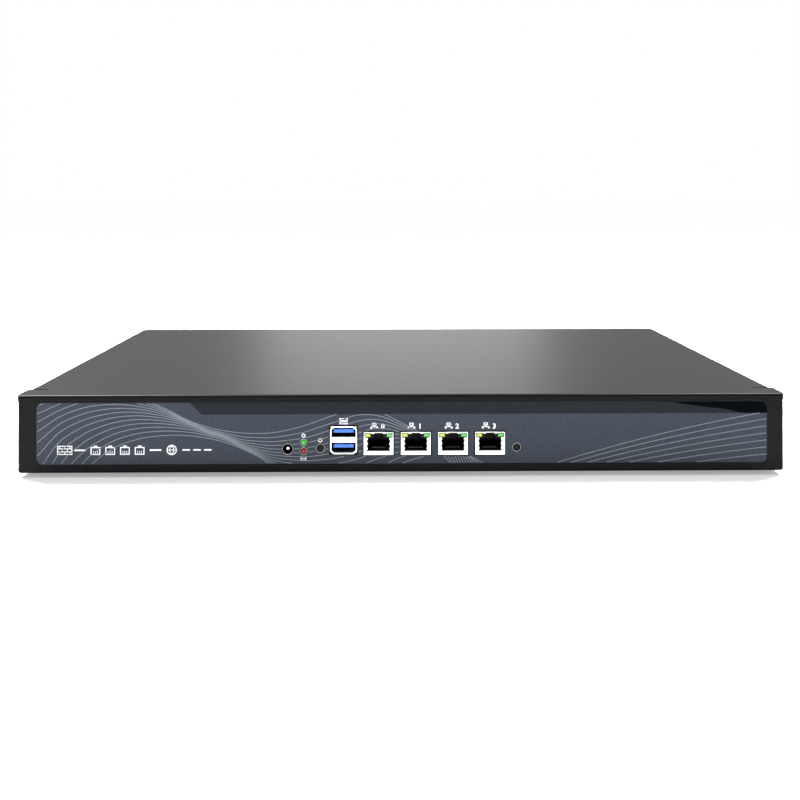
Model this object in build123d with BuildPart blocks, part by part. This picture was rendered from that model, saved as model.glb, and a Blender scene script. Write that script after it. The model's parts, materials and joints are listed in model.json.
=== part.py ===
"""Firewall appliance: a 1U rack enclosure with four network ports and a small mainboard inside.

The front faces -Y, +X is to the right seen from the front, and +Z is up.
The origin is the middle of the enclosure, on the surface that its rubber feet stand on.
All lengths are in millimetres.
"""
from build123d import *
import math
import os

os.makedirs("parts", exist_ok=True)

# ---------------------------------------------------------------- driving dimensions
body_width = 431.0
body_depth = 250.0
body_height = 43.6
foot_height = 2.5
sheet = 1.0
bezel_sheet = 1.2
bezel_depth = 15.2
bezel_floor_depth = 8.0
bezel_rise = 0.9
tab_step = 0.5
tab_height = 3.7
seam = 0.4
bend_radius = 1.4
fit_gap = 0.3

half_width = body_width / 2
y_front = -125.2
y_back = y_front + body_depth
z_base = foot_height
z_floor = z_base + sheet
z_top = z_base + body_height
z_cover = z_top - bezel_rise
z_under_cover = z_cover - sheet
y_inner = y_front + bezel_sheet

# front bezel, cover and tray share these planes
bezel_half = half_width - tab_step
tray_half = bezel_half - sheet - fit_gap
tray_inner = tray_half - sheet
cover_lip = 12.0
cover_rear_lip = 9.0
y_cover = y_front + bezel_depth + seam
y_rear_plate = y_back - sheet - fit_gap
z_wall = z_under_cover - 0.2

# overlay film on the front
film_left = -204.4
film_right = 205.5
film_low = z_base + 5.0
film_high = z_base + 39.4
film_corner = 3.5
film_thickness = 0.25
film_groove = 0.4

# mainboard
board_side = 170.0
board_sheet = 1.6
standoff_height = 7.4
y_board = -121.5
z_board = z_floor + standoff_height + board_sheet
board_hole_x = board_side / 2 - 6.35
board_hole_front = y_board + 10.16
board_hole_back = y_board + 165.1

# front openings, measured from the underside of the enclosure
lan_pitch = 20.86
lan_centres = [-13.35 + lan_pitch * port for port in range(4)]
lan_width = 16.5
lan_height = 12.6
lan_z = z_board + lan_height / 2
lan_depth = 21.0
lan_gap = 0.5
usb_x = -32.95
usb_z = z_base + 18.25
usb_width = 14.4
usb_height = 14.8
usb_gap = 0.8
usb_hole_corner = 0.8
jack_x = -64.3
jack_z = z_base + 13.15
led_x = -55.4
led_green_z = z_base + 16.85
led_red_z = z_base + 11.95
power_x = -46.0
power_z = z_base + 13.55
reset_x = 64.2
reset_z = z_base + 13.85
jack_hole = 3.1
led_hole = 2.1
power_hole = 2.55
reset_hole = 2.4
port_proud = 0.6
y_port = y_front - port_proud

# screws
thread_radius = 1.5
screw_clear = 1.6
flat_head_radius = 2.65
flat_head_hole = 2.7
pan_head_radius = 2.8
pan_head_height = 1.8

# rack ear hole pattern on the side walls
ear_y = y_front + 42.0
ear_z = z_base + 17.5
ear_spacing_y = 25.0
ear_spacing_z = 20.0
ear_hole = 1.65

# rear panel items
inlet_x = 165.0
inlet_z = z_base + 20.5
switch_x = 198.0
switch_z = inlet_z
fan_x = 105.0
fan_z = z_floor + 20.4
fan_side = 40.0
fan_thickness = 10.0
fan_bolt = 16.0


# ---------------------------------------------------------------- helpers
def front_plane(y):
    """A sketch plane at depth y that is drawn as (x, z); positive extrusions go forwards."""
    return Plane.XZ.offset(-y)


def block(low, high, mode=Mode.ADD):
    """A box between two opposite corners, in the open part."""
    size = [high[i] - low[i] for i in range(3)]
    middle = [(high[i] + low[i]) / 2 for i in range(3)]
    with Locations(tuple(middle)):
        Box(*size, mode=mode)


def cross_recess(depth, reach=1.5, width=0.5):
    """A cross-head driver recess at the origin of the current location, cut downwards."""
    top = (Align.CENTER, Align.CENTER, Align.MAX)
    Box(2 * reach, width, depth, align=top, mode=Mode.SUBTRACT)
    Box(width, 2 * reach, depth, align=top, mode=Mode.SUBTRACT)


def flat_screws(planes, length=6.0):
    """Countersunk screws whose head faces lie on the given planes."""
    top = (Align.CENTER, Align.CENTER, Align.MAX)
    for plane in planes:
        with Locations(plane):
            Cone(flat_head_radius - sheet, flat_head_radius, sheet, align=top)
        with Locations(plane.offset(-sheet)):
            Cylinder(thread_radius, length, align=top)
        with Locations(plane):
            cross_recess(0.6)


def flat_screw_holes(planes):
    """Countersunk holes through one sheet, below the given planes."""
    top = (Align.CENTER, Align.CENTER, Align.MAX)
    with Locations(*planes):
        Cone(flat_head_hole - sheet, flat_head_hole, sheet, align=top, mode=Mode.SUBTRACT)


def pan_screws(planes, length):
    """Pan-head screws seated on the given planes."""
    up = (Align.CENTER, Align.CENTER, Align.MIN)
    down = (Align.CENTER, Align.CENTER, Align.MAX)
    for plane in planes:
        with Locations(plane):
            Cone(pan_head_radius, pan_head_radius - 0.5, pan_head_height, align=up)
            Cylinder(thread_radius - 0.05, length, align=down)
        with Locations(plane.offset(pan_head_height)):
            cross_recess(0.8)


def round_holes(planes, radius, depth):
    """Plain round holes going in from the given planes."""
    down = (Align.CENTER, Align.CENTER, Align.MAX)
    with Locations(*planes):
        Cylinder(radius, depth, align=down, mode=Mode.SUBTRACT)


def lead(points, radii, diameter):
    """A round lead swept along straight runs joined by tangent arcs."""
    with BuildLine() as route:
        FilletPolyline(*points, radius=radii)
    path = route.line
    with BuildSketch(Plane(origin=path @ 0, z_dir=path % 0)) as section:
        Circle(diameter / 2)
    sweep(section.sketch, path=path)


def route_radii(points):
    """Arc radii for a lead's inner points, as large as the shorter run at each one allows."""
    corners = [Vector(*point) for point in points]
    radii = []
    for before, corner, after in zip(corners, corners[1:], corners[2:]):
        turn = (corner - before).get_angle(after - corner)
        shorter = min((corner - before).length, (after - corner).length)
        radii.append(0.45 * shorter / math.tan(math.radians(turn / 2)))
    return radii


def write(part, label):
    """Label a finished piece and write its STEP file."""
    part.label = label
    export_step(part, f"parts/{label}.step")


def panel_openings(margin=0.0):
    """Every opening of the front panel, larger all round by margin."""
    with Locations(*[(x, lan_z) for x in lan_centres]):
        Rectangle(lan_width + 2 * lan_gap + 2 * margin, lan_height + 2 * lan_gap + 2 * margin)
    with Locations((usb_x, usb_z)):
        RectangleRounded(
            usb_width + 2 * usb_gap + 2 * margin,
            usb_height + 2 * usb_gap + 2 * margin,
            usb_hole_corner + margin,
        )
    with Locations((jack_x, jack_z)):
        Circle(jack_hole + margin)
    with Locations((led_x, led_green_z), (led_x, led_red_z)):
        Circle(led_hole + margin)
    with Locations((power_x, power_z)):
        Circle(power_hole + margin)
    with Locations((reset_x, reset_z)):
        Circle(reset_hole + margin)


def film_outline(margin=0.0):
    """The outline of the overlay film, larger all round by margin."""
    middle = ((film_left + film_right) / 2, (film_low + film_high) / 2)
    with Locations(middle):
        RectangleRounded(
            film_right - film_left + 2 * margin, film_high - film_low + 2 * margin, film_corner + margin
        )


# ---------------------------------------------------------------- screw positions
bezel_screw_planes = [
    Plane(origin=(side * bezel_half, y_front + 10.0, z_base + height), z_dir=(side, 0, 0))
    for side in (-1, 1)
    for height in (9.0, 30.0)
]
cover_screw_planes = [
    Plane(origin=(side * half_width, y, z_cover - 7.0), z_dir=(side, 0, 0))
    for side in (-1, 1)
    for y in (-85.0, 10.0, 105.0)
]
cover_rear_planes = [
    Plane(origin=(x, y_back, z_cover - 5.0), z_dir=(0, 1, 0)) for x in (-150.0, 0.0, 60.0)
]
rear_flange_planes = [
    Plane(origin=(side * tray_half, y_rear_plate - 5.0, z_base + 13.0), z_dir=(side, 0, 0))
    for side in (-1, 1)
]
foot_centres = [(x, y) for x in (-190.0, 190.0) for y in (-95.0, 100.0)]

# ---------------------------------------------------------------- front bezel
with BuildPart() as front_bezel:
    block((-bezel_half, y_front, z_base), (bezel_half, y_front + bezel_depth, z_top))
    fillet(front_bezel.edges().filter_by(Axis.Y).group_by(Axis.Z)[0], bend_radius + 0.2)
    fillet(front_bezel.faces().sort_by(Axis.Y)[0].edges(), bend_radius)
    for side in (-1, 1):
        tab_x = sorted((side * (bezel_half - 0.6), side * half_width))
        block(
            (tab_x[0], y_front + bend_radius, z_top - tab_height),
            (tab_x[1], y_front + bezel_depth, z_top),
        )
    block(
        (-bezel_half + sheet, y_inner, z_base + bezel_sheet),
        (bezel_half - sheet, y_front + bezel_depth + 1, z_top - bezel_sheet),
        Mode.SUBTRACT,
    )
    block(
        (-bezel_half + sheet, y_front + bezel_floor_depth, z_base - 1),
        (bezel_half - sheet, y_front + bezel_depth + 1, z_base + bezel_sheet + 1),
        Mode.SUBTRACT,
    )
    # relief notch below each side tab
    for side in (-1, 1):
        notch_x = sorted((side * (bezel_half - 0.6), side * (half_width + 1)))
        block(
            (notch_x[0], y_front - 1, z_top - tab_height - 0.7),
            (notch_x[1], y_front + 2.2, z_top - tab_height),
            Mode.SUBTRACT,
        )
    with BuildSketch(front_plane(y_front)):
        film_outline(film_groove)
    extrude(amount=-film_thickness, mode=Mode.SUBTRACT)
    with BuildSketch(front_plane(y_front)):
        panel_openings()
    extrude(amount=-(bezel_sheet + 1), mode=Mode.SUBTRACT)
    flat_screw_holes(bezel_screw_planes)
write(front_bezel.part, "front_bezel")

with BuildPart() as front_overlay:
    with BuildSketch(front_plane(y_front)) as film:
        film_outline()
    with BuildSketch(front_plane(y_front)) as film_windows:
        panel_openings(0.15)
    extrude(film.sketch, amount=-film_thickness)
    extrude(film_windows.sketch, amount=-film_thickness, mode=Mode.SUBTRACT)
write(front_overlay.part, "front_overlay")

with BuildPart() as bezel_screws:
    flat_screws(bezel_screw_planes)
write(bezel_screws.part, "bezel_screws")

# ---------------------------------------------------------------- chassis tray
vent_count = 14
vent_pitch = 8.0
vent_slot = 2.6
vent_length = 18.0
vent_y = 30.0
floor_vent_centre = (161.0, 25.0)
floor_vent_pitch = 9.0
floor_vent_length = 50.0

with BuildPart() as chassis_tray:
    block((-tray_half, y_front + 1.5, z_base), (tray_half, y_rear_plate, z_wall))
    fillet(chassis_tray.edges().filter_by(Axis.Y).group_by(Axis.Z)[0], 1.2)
    block((-tray_inner, y_front - 1, z_floor), (tray_inner, y_back + 1, z_top), Mode.SUBTRACT)
    # the floor starts behind the bezel's bottom flange
    block(
        (-half_width, y_front, z_base - 1),
        (half_width, y_front + bezel_floor_depth + seam, z_floor + 0.6),
        Mode.SUBTRACT,
    )
    with BuildSketch(Plane.YZ):
        with Locations((vent_y, z_base + 17.0)):
            with GridLocations(vent_pitch, 1, vent_count, 1):
                SlotOverall(vent_length, vent_slot, rotation=90)
        with Locations((ear_y, ear_z)):
            with GridLocations(ear_spacing_y, ear_spacing_z, 2, 2):
                Circle(ear_hole)
        with Locations(*[(plane.origin.Y, plane.origin.Z) for plane in bezel_screw_planes[:2]]):
            Circle(screw_clear)
        with Locations(*[(plane.origin.Y, plane.origin.Z) for plane in cover_screw_planes[:3]]):
            Circle(screw_clear)
    extrude(amount=half_width, both=True, mode=Mode.SUBTRACT)
    flat_screw_holes(rear_flange_planes)
    with BuildSketch(Plane.XY.offset(z_base)):
        with Locations(*foot_centres):
            Circle(screw_clear)
        # floor vents below the supply
        with Locations(floor_vent_centre):
            with GridLocations(floor_vent_pitch, 1, 7, 1):
                SlotOverall(floor_vent_length, vent_slot, rotation=90)
    extrude(amount=sheet, mode=Mode.SUBTRACT)
write(chassis_tray.part, "chassis_tray")

# ---------------------------------------------------------------- rear panel
inlet_screw_reach = 20.0
inlet_hole_width = 28.0
inlet_hole_height = 20.4
switch_hole_width = 13.0
switch_hole_height = 19.6
flange_reach = 11.0
grille_radius = 18.0
grille_pitch = 4.6
grille_slot = 2.8
rear_vents = [(-120.0, 16), (30.0, 8)]

with BuildPart() as rear_panel:
    block(
        (-tray_inner + fit_gap, y_rear_plate - flange_reach, z_floor),
        (tray_inner - fit_gap, y_rear_plate, z_wall),
    )
    block(
        (-tray_inner + fit_gap + sheet, y_rear_plate - flange_reach - 1, z_floor + sheet),
        (tray_inner - fit_gap - sheet, y_rear_plate - sheet, z_top),
        Mode.SUBTRACT,
    )
    # the bottom flange is cut away below the fan
    block(
        (fan_x - fan_side / 2 - 1, y_rear_plate - flange_reach - 1, z_base),
        (fan_x + fan_side / 2 + 1, y_rear_plate - sheet, z_floor + sheet + 1),
        Mode.SUBTRACT,
    )
    with BuildSketch(front_plane(y_rear_plate)):
        with Locations((inlet_x, inlet_z)):
            Rectangle(inlet_hole_width, inlet_hole_height)
            with GridLocations(2 * inlet_screw_reach, 1, 2, 1):
                Circle(screw_clear)
        with Locations((switch_x, switch_z)):
            Rectangle(switch_hole_width, switch_hole_height)
        with Locations((fan_x, fan_z)):
            with GridLocations(2 * fan_bolt, 2 * fan_bolt, 2, 2):
                Circle(screw_clear)
        for row in range(-3, 4):
            chord = 2 * math.sqrt(grille_radius**2 - (row * grille_pitch) ** 2)
            with Locations((fan_x, fan_z + row * grille_pitch)):
                SlotOverall(chord, grille_slot)
        for vent_x, count in rear_vents:
            with Locations((vent_x, z_base + 19.0)):
                with GridLocations(vent_pitch, 1, count, 1):
                    SlotOverall(vent_length, vent_slot, rotation=90)
        with Locations(*[(plane.origin.X, plane.origin.Z) for plane in cover_rear_planes]):
            Circle(screw_clear)
    extrude(amount=sheet, both=True, mode=Mode.SUBTRACT)
    for side in (-1, 1):
        side_plane = Plane(
            origin=(side * tray_inner, y_rear_plate - 5.0, z_base + 13.0), z_dir=(side, 0, 0)
        )
        round_holes([side_plane], screw_clear, 3.0)
write(rear_panel.part, "rear_panel")

# ---------------------------------------------------------------- top cover
tongue_half = 205.0
corner_relief = 5.0

with BuildPart() as top_cover:
    block((-half_width, y_cover, z_cover - cover_lip), (half_width, y_back, z_cover))
    fillet(top_cover.edges().filter_by(Axis.Y).group_by(Axis.Z)[-1], 0.9)
    block(
        (-half_width + sheet, y_cover - 1, z_cover - cover_lip - 1),
        (half_width - sheet, y_back - sheet, z_under_cover),
        Mode.SUBTRACT,
    )
    # the rear lip is shorter than the side lips, with a relief at each corner
    block(
        (-half_width - 1, y_back - sheet - 0.6, z_cover - cover_lip - 1),
        (half_width + 1, y_back + 1, z_cover - cover_rear_lip),
        Mode.SUBTRACT,
    )
    for side in (-1, 1):
        relief_x = sorted((side * (half_width - sheet - 0.4), side * (half_width + 1)))
        block(
            (relief_x[0], y_back - sheet - 0.6, z_cover - cover_rear_lip - 1),
            (relief_x[1], y_back + 1, z_under_cover),
            Mode.SUBTRACT,
        )
    # the rear lip is cut away above the fan for its two upper screws
    block(
        (fan_x - fan_side / 2 - 1, y_back - sheet - 0.6, z_cover - cover_rear_lip - 1),
        (fan_x + fan_side / 2 + 1, y_back + 1, z_under_cover),
        Mode.SUBTRACT,
    )
    # relief at each front corner, beside the tongue that slides under the bezel's top flange
    for side in (-1, 1):
        corner_x = sorted((side * (tongue_half + 0.5), side * (half_width - sheet - 0.1)))
        block(
            (corner_x[0], y_cover - 1, z_under_cover - 1),
            (corner_x[1], y_cover + corner_relief, z_cover + 1),
            Mode.SUBTRACT,
        )
    block(
        (-tongue_half, y_front + 6.0, z_under_cover - sheet),
        (tongue_half, y_cover + 12.0, z_under_cover),
    )
    flat_screw_holes(cover_screw_planes + cover_rear_planes)
write(top_cover.part, "top_cover")

with BuildPart() as cover_screws:
    flat_screws(cover_screw_planes + cover_rear_planes, 5.0)
write(cover_screws.part, "cover_screws")

# ---------------------------------------------------------------- feet
foot_radius = 8.0
foot_recess = 3.4
foot_recess_depth = 1.4

with BuildPart() as rubber_feet:
    with BuildSketch(Plane.XY):
        with Locations(*foot_centres):
            Circle(foot_radius - 0.8)
    extrude(amount=foot_height, taper=-15)
    with BuildSketch(Plane.XY):
        with Locations(*foot_centres):
            Circle(foot_recess)
    extrude(amount=foot_recess_depth, mode=Mode.SUBTRACT)
    with BuildSketch(Plane.XY):
        with Locations(*foot_centres):
            Circle(screw_clear)
    extrude(amount=foot_height, mode=Mode.SUBTRACT)
write(rubber_feet.part, "rubber_feet")

with BuildPart() as foot_screws:
    for foot in foot_centres:
        plane = Plane(origin=(*foot, foot_recess_depth), z_dir=(0, 0, -1))
        with Locations(plane):
            Cone(
                pan_head_radius, pan_head_radius - 0.4, 1.1,
                align=(Align.CENTER, Align.CENTER, Align.MIN),
            )
            Cylinder(thread_radius, 5.0, align=(Align.CENTER, Align.CENTER, Align.MAX))
        with Locations(plane.offset(1.1)):
            cross_recess(0.5)
write(foot_screws.part, "foot_screws")

# ---------------------------------------------------------------- mainboard
supply_x = (130.0, 192.0)
supply_y = (-20.0, 72.0)
supply_inset = 5.0
board_holes = [
    (x, y) for x in (-board_hole_x, board_hole_x) for y in (board_hole_front, board_hole_back)
]
supply_holes = [
    (x, y)
    for x in (supply_x[0] + supply_inset, supply_x[1] - supply_inset)
    for y in (supply_y[0] + supply_inset, supply_y[1] - supply_inset)
]
z_board_under = z_board - board_sheet
heatsink_centre = (-12.0, -28.0)
heatsink_side = 80.0
heatsink_bolt = 34.0
heatsink_bolts = [
    (heatsink_centre[0] + dx, heatsink_centre[1] + dy)
    for dx in (-heatsink_bolt, heatsink_bolt)
    for dy in (-heatsink_bolt, heatsink_bolt)
]

with BuildPart() as mainboard:
    with BuildSketch(Plane.XY.offset(z_board_under)):
        with Locations((0, y_board + board_side / 2)):
            RectangleRounded(board_side, board_side, 1.0)
        with Locations(*(board_holes + heatsink_bolts)):
            Circle(screw_clear, mode=Mode.SUBTRACT)
    extrude(amount=board_sheet)
write(mainboard.part, "mainboard")

with BuildPart() as board_standoffs:
    with BuildSketch(Plane.XY.offset(z_floor)):
        with Locations(*(board_holes + supply_holes)):
            RegularPolygon(2.9, 6)
    extrude(amount=standoff_height)
    with BuildSketch(Plane.XY.offset(z_floor + 1.0)):
        with Locations(*(board_holes + supply_holes)):
            Circle(thread_radius)
    extrude(amount=standoff_height, mode=Mode.SUBTRACT)
write(board_standoffs.part, "board_standoffs")

with BuildPart() as board_screws:
    pan_screws([Plane(origin=(x, y, z_board)) for x, y in board_holes + supply_holes], 5.0)
write(board_screws.part, "board_screws")

# ---------------------------------------------------------------- processor and heatsink
package_height = 2.4
z_sink = z_board + package_height
sink_base = 4.0
fin_height = 19.0
fin_count = 16
fin_thickness = 1.2
fin_pitch = (heatsink_side - fin_thickness) / (fin_count - 1)

with BuildPart() as processor:
    cx, cy = heatsink_centre
    block((cx - 12.5, cy - 13.5, z_board), (cx + 12.5, cy + 13.5, z_board + 1.2))
    block((cx - 5.0, cy - 6.0, z_board + 1.2), (cx + 5.0, cy + 6.0, z_sink))
write(processor.part, "processor")

with BuildPart() as heatsink:
    with Locations((*heatsink_centre, z_sink + sink_base / 2)):
        Box(heatsink_side, heatsink_side, sink_base)
    with BuildSketch(Plane.XY.offset(z_sink + sink_base)):
        with Locations(heatsink_centre):
            with GridLocations(fin_pitch, 1, fin_count, 1):
                Rectangle(fin_thickness, heatsink_side)
    extrude(amount=fin_height)
    # clear pockets and holes for the corner screws
    with BuildSketch(Plane.XY.offset(z_sink + sink_base)):
        with Locations(*heatsink_bolts):
            Circle(5.0)
    extrude(amount=fin_height, mode=Mode.SUBTRACT)
    with BuildSketch(Plane.XY.offset(z_sink)):
        with Locations(*heatsink_bolts):
            Circle(screw_clear)
    extrude(amount=sink_base, mode=Mode.SUBTRACT)
write(heatsink.part, "heatsink")

with BuildPart() as heatsink_screws:
    pan_screws(
        [Plane(origin=(x, y, z_sink + sink_base)) for x, y in heatsink_bolts],
        sink_base + package_height + board_sheet,
    )
write(heatsink_screws.part, "heatsink_screws")

# ---------------------------------------------------------------- memory, clock cell
memory_x = 40.0
memory_y = -30.0
memory_length = 67.6
memory_reach = 30.0
z_memory = z_board + 3.0

with BuildPart() as memory_socket:
    block(
        (memory_x, memory_y - 35.5, z_board),
        (memory_x + 6.5, memory_y + 35.5, z_board + 5.2),
    )
    for side in (-1, 1):
        arm_y = sorted((memory_y + side * 34.2, memory_y + side * 35.5))
        block(
            (memory_x + 6.5, arm_y[0], z_board),
            (memory_x + 26.0, arm_y[1], z_board + 4.6),
        )
    block(
        (memory_x + 4.0, memory_y - memory_length / 2, z_memory),
        (memory_x + 7.0, memory_y + memory_length / 2, z_memory + 1.0),
        Mode.SUBTRACT,
    )
write(memory_socket.part, "memory_socket")

with BuildPart() as memory_module:
    block(
        (memory_x + 4.0, memory_y - memory_length / 2, z_memory),
        (memory_x + 4.0 + memory_reach, memory_y + memory_length / 2, z_memory + 1.0),
    )
    with BuildSketch(Plane.XY.offset(z_memory + 1.0)):
        with Locations((memory_x + 21.0, memory_y)):
            with GridLocations(14.0, 15.0, 1, 4):
                Rectangle(12.0, 9.0)
    extrude(amount=1.1)
write(memory_module.part, "memory_module")

cell_centre = (-67.0, -66.0)
cell_radius = 10.0
cell_height = 3.2

with BuildPart() as coin_cell_holder:
    with BuildSketch(Plane.XY.offset(z_board)):
        with Locations(cell_centre):
            Circle(cell_radius + 1.6)
    extrude(amount=1.2)
    with BuildSketch(Plane.XY.offset(z_board + 1.2)):
        with Locations(cell_centre):
            Circle(cell_radius + 1.6)
            Circle(cell_radius + 0.1, mode=Mode.SUBTRACT)
            Rectangle(30.0, 9.0, mode=Mode.SUBTRACT)
    extrude(amount=3.4)
write(coin_cell_holder.part, "coin_cell_holder")

with BuildPart() as coin_cell:
    with BuildSketch(Plane.XY.offset(z_board + 1.2)):
        with Locations(cell_centre):
            Circle(cell_radius)
    extrude(amount=cell_height)
    chamfer(coin_cell.edges().filter_by(GeomType.CIRCLE).group_by(Axis.Z)[-1], 0.5)
write(coin_cell.part, "coin_cell")

# ---------------------------------------------------------------- small board parts
capacitor_radius = 3.15
capacitor_height = 8.0
capacitor_spots = [(-72.0, -100.0), (-64.0, -100.0), (-50.0, -98.0), (-72.0, 20.0), (-64.0, 20.0)]
capacitor_spots += [(-56.0, 20.0), (60.0, 15.0), (68.0, 15.0), (72.0, -98.0)]
inductor_spots = [(-40.0, 28.0), (-26.0, 28.0), (-12.0, 28.0)]
chip_spots = [(x, -92.0, 7.0, 1.0) for x in lan_centres]
chip_spots += [(-60.0, -36.0, 14.0, 1.4), (20.0, 32.0, 10.0, 1.2)]

with BuildPart() as capacitors:
    with BuildSketch(Plane.XY.offset(z_board)):
        with Locations(*capacitor_spots):
            Rectangle(6.8, 6.8)
    extrude(amount=0.8)
    with BuildSketch(Plane.XY.offset(z_board + 0.8)):
        with Locations(*capacitor_spots):
            Circle(capacitor_radius)
    extrude(amount=capacitor_height)
write(capacitors.part, "capacitors")

with BuildPart() as inductors:
    with BuildSketch(Plane.XY.offset(z_board)):
        with Locations(*inductor_spots):
            RectangleRounded(10.0, 10.0, 1.5)
    extrude(amount=4.5)
write(inductors.part, "inductors")

with BuildPart() as controller_chips:
    for x, y, side, height in chip_spots:
        block((x - side / 2, y - side / 2, z_board), (x + side / 2, y + side / 2, z_board + height))
write(controller_chips.part, "controller_chips")

data_socket_y = -50.0
power_socket_y = -45.0
fan_socket = (58.0, 40.0)

with BuildPart() as board_sockets:
    # data socket at the left edge, DC socket at the right edge, fan socket at the back
    block((-84.0, data_socket_y - 6.0, z_board), (-77.0, data_socket_y + 6.0, z_board + 7.0))
    block((76.0, power_socket_y - 5.0, z_board), (84.0, power_socket_y + 5.0, z_board + 8.0))
    block(
        (fan_socket[0] - 4.0, fan_socket[1] - 3.0, z_board),
        (fan_socket[0] + 4.0, fan_socket[1] + 3.0, z_board + 6.0),
    )
    # a two-row pin header with its pins
    block((-74.0, 34.0, z_board), (-48.0, 39.0, z_board + 2.5))
    with BuildSketch(Plane.XY.offset(z_board + 2.5)):
        with Locations((-61.0, 36.5)):
            with GridLocations(2.54, 2.54, 9, 2):
                Rectangle(0.64, 0.64)
    extrude(amount=6.0)
write(board_sockets.part, "board_sockets")

# ---------------------------------------------------------------- USB connector
usb_depth = 17.5
usb_wall = 0.4
rim_depth = 1.5
rim_flare = 0.3
rim_sheet = 0.6
rim_corner = 1.9
usb_bar_low = usb_z - 1.5
usb_bar_high = usb_z + 1.5
y_usb_back = y_port + usb_depth
tongue_centres = [usb_z - 3.6, usb_z + 4.8]
tongue_width = 11.2
tongue_thickness = 1.8

with BuildPart() as usb_shell:
    with BuildSketch(front_plane(y_port + rim_depth)):
        with Locations((usb_x, usb_z)):
            Rectangle(usb_width, usb_height)
            Rectangle(usb_width - 2 * usb_wall, usb_height - 2 * usb_wall, mode=Mode.SUBTRACT)
    extrude(amount=-(usb_depth - rim_depth))
    # folded bar between the two ports
    block(
        (usb_x - usb_width / 2 + 0.2, y_port + 0.9, usb_bar_low),
        (usb_x + usb_width / 2 - 0.2, y_port + 4.0, usb_bar_high),
    )
    # rim at the mouth, a little wider than the shell and cut across at the corners;
    # the inner cut is shorter, which keeps the rim one thickness all the way round
    with BuildSketch(front_plane(y_port + rim_depth)):
        for inset, mode in ((0.0, Mode.ADD), (rim_sheet, Mode.SUBTRACT)):
            reach = rim_flare - inset
            with BuildSketch(front_plane(y_port + rim_depth), mode=Mode.PRIVATE) as outline:
                with Locations((usb_x, usb_z)):
                    Rectangle(usb_width + 2 * reach, usb_height + 2 * reach)
                chamfer(outline.vertices(), rim_corner - (2 - math.sqrt(2)) * inset)
            add(outline.sketch_local, mode=mode)
    extrude(amount=rim_depth)
    # legs down to the board
    for side in (-1, 1):
        wall_x = usb_x + side * usb_width / 2
        leg_x = sorted((wall_x, wall_x - side * usb_wall))
        block((leg_x[0], y_usb_back - 8.0, z_board), (leg_x[1], y_usb_back - 4.0, usb_z))
write(usb_shell.part, "usb_shell")

with BuildPart() as usb_insulator:
    block(
        (usb_x - usb_width / 2, y_usb_back, z_board),
        (usb_x + usb_width / 2, y_usb_back + 4.0, usb_z + usb_height / 2),
    )
write(usb_insulator.part, "usb_insulator")

with BuildPart() as usb_tongues:
    with BuildSketch(front_plane(y_usb_back)):
        with Locations(*[(usb_x, z) for z in tongue_centres]):
            Rectangle(tongue_width, tongue_thickness)
    extrude(amount=usb_depth - 1.6)
write(usb_tongues.part, "usb_tongues")

with BuildPart() as usb_contacts:
    with BuildSketch(front_plane(y_usb_back)):
        with Locations(*[(usb_x, z - tongue_thickness / 2 - 0.15) for z in tongue_centres]):
            with GridLocations(2.4, 1, 4, 1):
                Rectangle(1.1, 0.3)
    extrude(amount=usb_depth - 2.6)
write(usb_contacts.part, "usb_contacts")

# ---------------------------------------------------------------- network ports
shield_wall = 0.3
window_width = 13.2
window_low = z_board + 2.1
window_high = z_board + 11.9
latch_width = 4.8
indicator_offset = 6.1
indicator_width = 3.0
indicator_height = 1.9
indicator_z = z_board + 10.9
indicator_surround = 0.9
plug_width = 11.9
plug_low = z_board + 2.6
plug_high = z_board + 9.5
latch_step = 6.2
latch_key = 3.4
plug_depth = 13.0
y_housing = y_port + shield_wall

with BuildPart() as lan_shields:
    for x in lan_centres:
        block(
            (x - lan_width / 2, y_port, z_board),
            (x + lan_width / 2, y_port + lan_depth, z_board + lan_height),
        )
        block(
            (x - lan_width / 2 + shield_wall, y_housing, z_board + shield_wall),
            (x + lan_width / 2 - shield_wall, y_port + lan_depth - shield_wall,
             z_board + lan_height - shield_wall),
            Mode.SUBTRACT,
        )
    with BuildSketch(front_plane(y_port)):
        for x in lan_centres:
            with Locations((x, (window_low + window_high) / 2)):
                Rectangle(window_width, window_high - window_low)
            # bulging contact springs along both sides of the window
            spring_spots = [
                (x + side * (window_width / 2 + 0.45), window_low + height)
                for side in (-1, 1)
                for height in (1.6, 4.2, 6.8)
            ]
            with Locations(*spring_spots):
                Circle(0.9, mode=Mode.SUBTRACT)
            with Locations((x, z_board + lan_height)):
                Rectangle(latch_width, 4.0)
            with Locations(
                (x - indicator_offset, indicator_z), (x + indicator_offset, indicator_z)
            ):
                Rectangle(
                    indicator_width + indicator_surround, indicator_height + indicator_surround
                )
    extrude(amount=-shield_wall, mode=Mode.SUBTRACT)
write(lan_shields.part, "lan_shields")

with BuildPart() as lan_housings:
    for x in lan_centres:
        block(
            (x - lan_width / 2 + shield_wall, y_housing, z_board + shield_wall),
            (x + lan_width / 2 - shield_wall, y_port + lan_depth - 1.0,
             z_board + lan_height - shield_wall),
        )
    with BuildSketch(front_plane(y_housing)):
        with Locations(*[(x, (plug_low + plug_high) / 2) for x in lan_centres]):
            Rectangle(plug_width, plug_high - plug_low)
        with Locations(*[(x, plug_high + 0.9) for x in lan_centres]):
            Rectangle(latch_step, 2.0)
        with Locations(*[(x, plug_high + 1.7) for x in lan_centres]):
            Rectangle(latch_key, 1.8)
    extrude(amount=-plug_depth, mode=Mode.SUBTRACT)
    with BuildSketch(front_plane(y_housing)):
        for x in lan_centres:
            with Locations(
                (x - indicator_offset, indicator_z), (x + indicator_offset, indicator_z)
            ):
                Rectangle(indicator_width, indicator_height)
    extrude(amount=-plug_depth, mode=Mode.SUBTRACT)
write(lan_housings.part, "lan_housings")

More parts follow.
